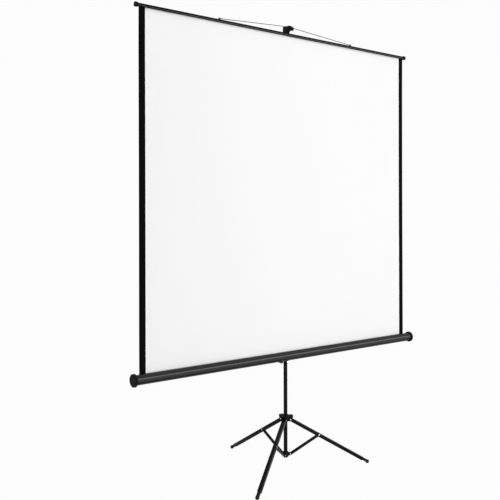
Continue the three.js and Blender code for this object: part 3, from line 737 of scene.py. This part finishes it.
class SCREEN_OT_carrier(Operator):
    """Sleeve that carries the case, with its saddle, clamp screw and release lever"""

    bl_idname = "screen.carrier"
    bl_label = "Case carrier"
    head_depth = 0.01
    shank_radius = 0.003
    face_share = 0.55
    groove_share = 0.05

    def execute(self, context):
        sizes = context.scene.screen_sizes
        for node in ("case_slider", "release_lever", "case_saddle"):
            piece(f"{node}_shape", fair_copy(node, sizes.edge, sharper=30), node)
        self.clamp_screw(sizes)
        return {"FINISHED"}

    def clamp_screw(self, sizes):
        centre = middle("case_clamp_screw")
        start, end = low("case_clamp_screw").y - centre.y, high("case_clamp_screw").y - centre.y
        head = size("case_clamp_screw").x / 2
        back = start + self.head_depth
        edge = sizes.edge * 2
        groove = head * self.groove_share
        profile = [
            (0, start), (head * self.face_share, start), (head - edge, start + edge * 0.4),
            (head, start + edge), (head, back - edge), (head - edge, back),
            (self.shank_radius, back), (self.shank_radius, end), (0, end),
        ]
        bm = turned(profile, centre, Y, sizes.knurls * 4)
        for vertex in bm.verts:
            arm = Vector((vertex.co.x - centre.x, 0, vertex.co.z - centre.z))
            if arm.length > head - edge * 0.5:
                turn = math.atan2(arm.z, arm.x)
                vertex.co -= arm.normalized() * groove * (1 - math.cos(sizes.knurls * turn)) / 2
        piece("case_clamp_screw_shape", bm, "case_clamp_screw", smooth=50)


class SCREEN_OT_case(Operator):
    """Case shell of ten flats with fine ridges, and its two end caps"""

    bl_idname = "screen.case"
    bl_label = "Case"
    rim_radius = 0.003
    rim_step = 15
    back_edge = 0.0006
    # Step from the shell's outside in to the plug, in walls of the shell
    plug_inset = 2.2
    plug_depth = 0.006
    plug_wall = 0.002
    plug_floor = 0.004
    dish_share = 0.78
    dish_depth = 0.0012

    def execute(self, context):
        sizes = context.scene.screen_sizes
        shell = fair_copy("casing_shell", sizes.fine_edge * 0.6, sharper=20)
        piece("casing_shell_shape", shell, "casing_shell", smooth=18)
        for side, way in WAYS.items():
            self.cap(sizes, f"casing_cap_{side}", way)
        return {"FINISHED"}

    def cap(self, sizes, node, way):
        """A turned cap with a rounded rim and a shallow dish, on a plug that fits in the shell."""
        outer = size(node).z / 2
        shell_end = high("casing_shell").x if way > 0 else -low("casing_shell").x
        face = high(node).x if way > 0 else -low(node).x
        seat = shell_end + SEAT_GAP
        plug = size("casing_shell").z / 2 - sizes.case_wall * self.plug_inset
        core = plug - self.plug_wall
        dish = outer * self.dish_share
        depth = self.dish_depth
        rim = []
        for degrees in range(0, 91, self.rim_step):
            turn = math.radians(degrees)
            inwards = self.rim_radius * (1 - math.cos(turn))
            rim.append((outer - inwards, face - self.rim_radius * (1 - math.sin(turn))))
        profile = [
            (0, seat + self.plug_floor), (core, seat + self.plug_floor), (core, seat - self.plug_depth),
            (plug, seat - self.plug_depth), (plug, seat),
            (outer - self.back_edge, seat), (outer, seat + self.back_edge), *rim,
            (dish + depth * 0.6, face), (dish, face - depth * 0.25),
            (dish - depth * 0.8, face - depth), (0, face - depth),
        ]
        centre = Vector((0, case_axis.y, case_axis.z))
        piece(f"{node}_shape", turned(profile, centre, X * way, sizes.round_sides), node)


class SCREEN_OT_roller(Operator):
    """Spring roller inside the case, with the sheet wound on it"""

    bl_idname = "screen.roller"
    bl_label = "Spring roller"
    steps_per_turn = 96
    # Shares of the roll's pitch: gaps inside the first turn and outside the last, and the cloth
    first_gap = 0.8
    last_gap = 0.5
    cloth_share = 0.6
    insides = (
        "roller_tube", "roller_plug_left", "roller_plug_right", "roller_pin",
        "spring_shaft", "torsion_spring",
    )

    def execute(self, context):
        for node in self.insides:
            keep_node(node)
        self.roll(context.scene.screen_sizes)
        return {"FINISHED"}

    def roll(self, sizes):
        """The wound sheet as a spiral from the tube out to the last turn."""
        start = size("roller_tube").z / 2 + sizes.roll_pitch * self.first_gap
        end = size("wound_sheet").z / 2 - sizes.roll_pitch * self.last_gap
        turns = (end - start) / sizes.roll_pitch
        total = int(turns * self.steps_per_turn)
        centre = Vector((low("wound_sheet").x, case_axis.y, case_axis.z))
        points = []
        for step in range(total + 1):
            turn = math.tau * step / self.steps_per_turn
            radius = start + (end - start) * step / total
            points.append(centre + radius * Vector((0, math.cos(turn), math.sin(turn))))
        bm = bmesh.new()
        drawn_out(bm, line_of(bm, points)[1], X * size("wound_sheet").x)
        made = piece("wound_sheet_shape", bm, "wound_sheet")
        # The sheet is wound with its backing outwards
        made.data.materials.clear()
        made.data.materials.append(finish_for("sheet_black"))
        wall = made.modifiers.new("wall", "SOLIDIFY")
        wall.thickness = sizes.roll_pitch * self.cloth_share
        wall.offset = 0


class SCREEN_OT_sheet(Operator):
    """Sheet stretched from the roller up to the rail, white in front and black behind"""

    bl_idname = "screen.sheet"
    bl_label = "Sheet"
    columns = 120
    rows = 110
    # Shares of the height held flat at each end and of the half width that curls
    held_share = 0.12
    curl_share = 0.1
    # Depth of the curl against the waves, scales of the waves, and their layer in the noise
    curl_depth = 0.8
    waves_across = 1.1
    waves_up = 0.9
    wave_layer = 0.3

    def execute(self, context):
        sizes = context.scene.screen_sizes
        left, right = low("sheet_margin_left").x, high("sheet_margin_right").x
        bottom, top = low("screen_sheet").z, high("screen_sheet").z
        bm = bmesh.new()
        centre = Vector((0, sheet_plane, (bottom + top) / 2))
        place = Matrix.Translation(centre) @ Matrix.Rotation(math.pi / 2, 4, "X")
        bmesh.ops.create_grid(bm, x_segments=self.columns, y_segments=self.rows, size=0.5, matrix=place)
        about = Matrix.Translation(-centre)
        bmesh.ops.scale(bm, vec=(right - left, 1, top - bottom), space=about, verts=bm.verts)
        for vertex in bm.verts:
            self.wave(vertex, sizes.sheet_wave, right, (bottom, top))
        made = piece("sheet_cloth", bm, "screen_sheet", "sheet_margin_left", "sheet_margin_right")
        made.data.materials.append(finish_for("sheet_black"))
        wall = made.modifiers.new("wall", "SOLIDIFY")
        wall.thickness = size("screen_sheet").y
        wall.offset = 0
        wall.material_offset = 1
        wall.material_offset_rim = 1
        travel = next(j for j in frame["joints"] if j["name"] == "screen_retract")["range_m"][1]
        keep = 1 - travel / (top - bottom)
        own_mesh(made)
        return {"FINISHED"}

    def wave(self, vertex, depth, side, ends):
        """Moves a corner off the plane: slow waves, and a curl at the sides, none near the held ends."""
        x, y, z = vertex.co
        aside = abs(x) / side
        up = (z - ends[0]) / (ends[1] - ends[0])
        free = min(1, up / self.held_share) * min(1, (1 - up) / self.held_share)
        slow = noise.noise(Vector((x * self.waves_across, self.wave_layer, z * self.waves_up)))
        curl = max(0, aside - (1 - self.curl_share)) / self.curl_share
        vertex.co.y = y + free * depth * (slow + self.curl_depth * curl * curl)


class SCREEN_OT_rail(Operator):
    """Top rail with its caps, and the wire bail in its two clips"""

    bl_idname = "screen.rail"
    bl_label = "Rail and bail"
    # Height over the rail's lowest corner within which its slot is cut
    slot_reach = 0.0001
    cap_edge = 0.0014
    cap_bore_share = 0.85
    cap_waist_share = 0.985
    cap_dish = 0.0006
    bend_steps = 6

    def execute(self, context):
        sizes = context.scene.screen_sizes
        self.rail(sizes)
        for side, way in WAYS.items():
            self.cap(sizes, f"rail_cap_{side}", way)
            clip = f"bail_clip_{side}"
            piece(f"{clip}_shape", fair_copy(clip, sizes.fine_edge, sharper=30), clip)
        self.bail(sizes)
        return {"FINISHED"}

    def rail(self, sizes):
        """A tube with a slot along its underside, where the sheet goes in."""
        radius = size("top_rail").y / 2
        start = Vector((low("top_rail").x, rail_axis.y, rail_axis.z))
        bm = bmesh.new()
        ring = bmesh.ops.create_circle(
            bm, segments=sizes.round_sides, radius=radius - sizes.rail_wall / 2,
            matrix=Matrix.Translation(start) @ Matrix.Rotation(math.pi / 2, 4, "Y"),
        )["verts"]
        lowest = min(v.co.z for v in ring)
        slot = {e for v in ring if v.co.z < lowest + self.slot_reach for e in v.link_edges}
        bmesh.ops.delete(bm, geom=list(slot), context="EDGES")
        drawn_out(bm, bm.edges[:], X * size("top_rail").x)
        made = piece("top_rail_shape", bm, "top_rail")
        made.data.materials[0] = rail_coat(bpy.context.scene.screen_colours)
        wall = made.modifiers.new("wall", "SOLIDIFY")
        wall.thickness = sizes.rail_wall
        wall.offset = 0

    def cap(self, sizes, node, way):
        """A turned cap with a waist and a dished end, bored to fit over the rail."""
        outer = size(node).z / 2
        inner_end = low(node).x if way > 0 else high(node).x
        depth = size(node).x
        edge = self.cap_edge
        bore = size("top_rail").y / 2 + SEAT_GAP
        bore_end = depth * self.cap_bore_share
        waist = outer * self.cap_waist_share
        dish = depth - self.cap_dish
        profile = [
            (bore, bore_end), (bore, 0), (outer - edge * 0.4, 0), (outer, edge * 0.4), (outer, edge),
            (waist, edge * 1.5), (waist, depth - edge * 2.2), (outer, depth - edge * 1.7),
            (outer - edge * 0.25, depth - edge * 0.55), (outer - edge, depth - edge * 0.08),
            (outer - edge * 1.6, depth), (outer * 0.6, depth), (outer * 0.52, dish), (0, dish),
            (0, bore_end), (bore, bore_end),
        ]
        centre = Vector((inner_end, rail_axis.y, rail_axis.z))
        piece(f"{node}_shape", turned(profile, centre, X * way, sizes.round_sides), node)

    def bail(self, sizes):
        """Wire bent from clip to crest to clip, as a round-cornered path."""
        start, end = low("bail_wire"), high("bail_wire")
        radius = sizes.wire_radius
        hinge_z = start.z + radius
        crest = Vector((sizes.crest_half, end.y - radius, end.z - radius))
        knee = middle("bail_clip_right").x - sizes.wire_knee
        corners = [
            Vector((start.x, rail_axis.y, hinge_z)),
            Vector((-knee, rail_axis.y, hinge_z)),
            Vector((-crest.x, crest.y, crest.z)),
            crest,
            Vector((knee, rail_axis.y, hinge_z)),
            Vector((end.x, rail_axis.y, hinge_z)),
        ]
        path = [corners[0]]
        for before, corner, after in zip(corners, corners[1:], corners[2:]):
            into, out = (before - corner).normalized(), (after - corner).normalized()
            first, second = corner + into * sizes.wire_bend, corner + out * sizes.wire_bend
            for step in range(self.bend_steps + 1):
                t = step / self.bend_steps
                path.append(first.lerp(corner, t).lerp(corner.lerp(second, t), t))
        path.append(corners[-1])
        curve = bpy.data.curves.new("bail_path", "CURVE")
        curve.dimensions = "3D"
        line = curve.splines.new("POLY")
        line.points.add(len(path) - 1)
        for point, place in zip(line.points, path):
            point.co = (*place, 1)
        curve.bevel_depth = radius
        curve.bevel_resolution = 6
        curve.use_fill_caps = True
        holder = bpy.data.objects.new("bail_path", curve)
        bpy.context.scene.collection.objects.link(holder)
        bpy.context.view_layer.update()
        bent = holder.evaluated_get(bpy.context.evaluated_depsgraph_get())
        mesh = bpy.data.meshes.new_from_object(bent)
        bpy.data.objects.remove(holder)
        bm = bmesh.new()
        bm.from_mesh(mesh)
        bmesh.ops.remove_doubles(bm, verts=bm.verts, dist=SAME_POINT)
        bmesh.ops.recalc_face_normals(bm, faces=bm.faces)
        piece("bail_wire_shape", bm, "bail_wire", smooth=60)


# Stage


class SCREEN_OT_studio(Operator):
    """White floor and backdrop, soft lights and the camera"""

    bl_idname = "screen.studio"
    bl_label = "Studio"
    # Place, size and aim of each lamp
    lamps = {
        "key": ((0.2, -6.4, 1.0), (4.0, 1.9), (0, -0.2, 1.2)),
        "fill": ((4.4, -3.4, 1.8), (2.6, 3.4), (0, -0.2, 1.2)),
        "top": ((0.3, -0.6, 5.2), (3.4, 2.4), (0, -0.2, 0)),
    }
    # Half the width, the near and far ends, the height and the bend of the floor and backdrop
    half_wide, near, far, tall, bend = 45, -16, 12, 16, 5
    camera_place = (-3.00185, sheet_plane - 3.42952, 1.57088)
    camera_shift = (-0.03, -0.0694)
    camera_roll = math.radians(-0.11)
    sensor = 36

    def execute(self, context):
        studio = context.scene.screen_studio
        context.scene.view_settings.view_transform = "Standard"
        self.sweep(context.scene, studio)
        self.world(context.scene, studio)
        for name, (place, extent, target) in self.lamps.items():
            self.lamp(context.scene, name, getattr(studio, name), place, extent, target)
        self.camera(context.scene, studio)
        return {"FINISHED"}

    def sweep(self, scene, studio):
        """Floor that curves up into the backdrop behind the screen, square to the camera."""
        bm = bmesh.new()
        ends = ((self.near, 0), (self.far, 0), (self.far, self.tall))
        corners = line_of(bm, [Vector((-self.half_wide, along, up)) for along, up in ends])[0]
        bmesh.ops.bevel(
            bm, geom=[corners[1]], offset=self.bend, affect="VERTICES",
            segments=16, profile=0.5, material=-1,
        )
        drawn_out(bm, bm.edges[:], X * self.half_wide * 2)
        bmesh.ops.recalc_face_normals(bm, faces=bm.faces)
        turn = Matrix.Rotation(-HEADING, 3, "Z")
        bmesh.ops.rotate(bm, verts=bm.verts, cent=(0, 0, 0), matrix=turn)
        mesh = bpy.data.meshes.new("sweep")
        bm.to_mesh(mesh)
        bm.free()
        mesh.polygons.foreach_set("use_smooth", [True] * len(mesh.polygons))
        mesh.materials.append(self.paper(studio))
        sweep = bpy.data.objects.new("sweep", mesh)
        scene.collection.objects.link(sweep)

    def paper(self, studio):
        """Paper that shows as white to the camera and in reflections, and is lit as pale grey."""
        finish = Finish("sweep_paper")
        finish.feed(base_color=(0.55, 0.55, 0.55), roughness=0.95, specular_ior_level=0.1)
        glow = finish.node("ShaderNodeEmission", inputs={"Color": (1, 1, 1), "Strength": 1.0})
        lit = Socket(finish, finish.shader.outputs[0])
        white = finish.seen() * studio.whiteness
        shown = finish.node("ShaderNodeMixShader", inputs={0: white, 1: lit, 2: glow})
        finish.join(shown, finish.tree.nodes["Material Output"].inputs["Surface"])
        return finish.material

    def world(self, scene, studio):
        """Plain light from all round, which shows as white to the camera and in reflections."""
        scene.world = bpy.data.worlds.new("studio")
        scene.world.use_nodes = True
        nodes = Nodes(scene.world.node_tree)
        ends = {"Value": nodes.seen(), "To Min": studio.ambient, "To Max": 1.0}
        background = nodes.tree.nodes["Background"].inputs
        nodes.join(nodes.node("ShaderNodeMapRange", inputs=ends), background["Strength"])
        nodes.join((1, 1, 1), background["Color"])

    def lamp(self, scene, name, energy, place, extent, target):
        data = bpy.data.lights.new(name, "AREA")
        data.energy = energy
        data.shape = "RECTANGLE"
        data.size, data.size_y = extent
        lamp = bpy.data.objects.new(name, data)
        scene.collection.objects.link(lamp)
        lamp.location = place
        lamp.rotation_euler = (Vector(target) - Vector(place)).to_track_quat("-Z", "Y").to_euler()

    def camera(self, scene, studio):
        data = bpy.data.cameras.new("view")
        data.lens = studio.lens
        data.sensor_width = self.sensor
        data.shift_x, data.shift_y = self.camera_shift
        data.clip_end = 100
        camera = bpy.data.objects.new("view", data)
        scene.collection.objects.link(camera)
        look = Vector((math.sin(HEADING), math.cos(HEADING), 0))
        camera.location = self.camera_place
        turn = look.to_track_quat("-Z", "Y").to_matrix() @ Matrix.Rotation(self.camera_roll, 3, "Z")
        camera.rotation_euler = turn.to_euler()
        scene.camera = camera


class SCREEN_PT_pieces(Panel):
    """Lists the screen's groups of pieces"""

    bl_idname = "SCREEN_PT_pieces"
    bl_label = "Tripod screen"
    bl_space_type = "VIEW_3D"
    bl_region_type = "UI"
    bl_category = "Screen"

    def draw(self, context):
        for operator in OPERATORS:
            self.layout.operator(operator.bl_idname)
        for group in ("screen_sizes", "screen_colours", "screen_studio"):
            settings = getattr(context.scene, group)
            box = self.layout.box()
            for name in settings.bl_rna.properties.keys():
                if name not in ("rna_type", "name"):
                    box.prop(settings, name)


OPERATORS = (
    SCREEN_OT_tubes,
    SCREEN_OT_stand,
    SCREEN_OT_boots,
    SCREEN_OT_pins,
    SCREEN_OT_mast_head,
    SCREEN_OT_carrier,
    SCREEN_OT_case,
    SCREEN_OT_roller,
    SCREEN_OT_sheet,
    SCREEN_OT_rail,
    SCREEN_OT_studio,
)
CLASSES = (ScreenColours, ScreenSizes, StudioSettings, *OPERATORS, SCREEN_PT_pieces)


def register():
    for cls in CLASSES:
        bpy.utils.register_class(cls)
    bpy.types.Scene.screen_colours = PointerProperty(type=ScreenColours)
    bpy.types.Scene.screen_sizes = PointerProperty(type=ScreenSizes)
    bpy.types.Scene.screen_studio = PointerProperty(type=StudioSettings)


def unregister():
    del bpy.types.Scene.screen_studio
    del bpy.types.Scene.screen_sizes
    del bpy.types.Scene.screen_colours
    for cls in reversed(CLASSES):
        bpy.utils.unregister_class(cls)


def main():
    register()
    bpy.ops.screen.tubes()
    bpy.ops.screen.stand()
    bpy.ops.screen.boots()
    bpy.ops.screen.pins()
    bpy.ops.screen.mast_head()
    bpy.ops.screen.carrier()
    bpy.ops.screen.case()
    bpy.ops.screen.roller()
    bpy.ops.screen.sheet()
    bpy.ops.screen.rail()
    bpy.ops.screen.studio()


if __name__ == "__main__":
    main()
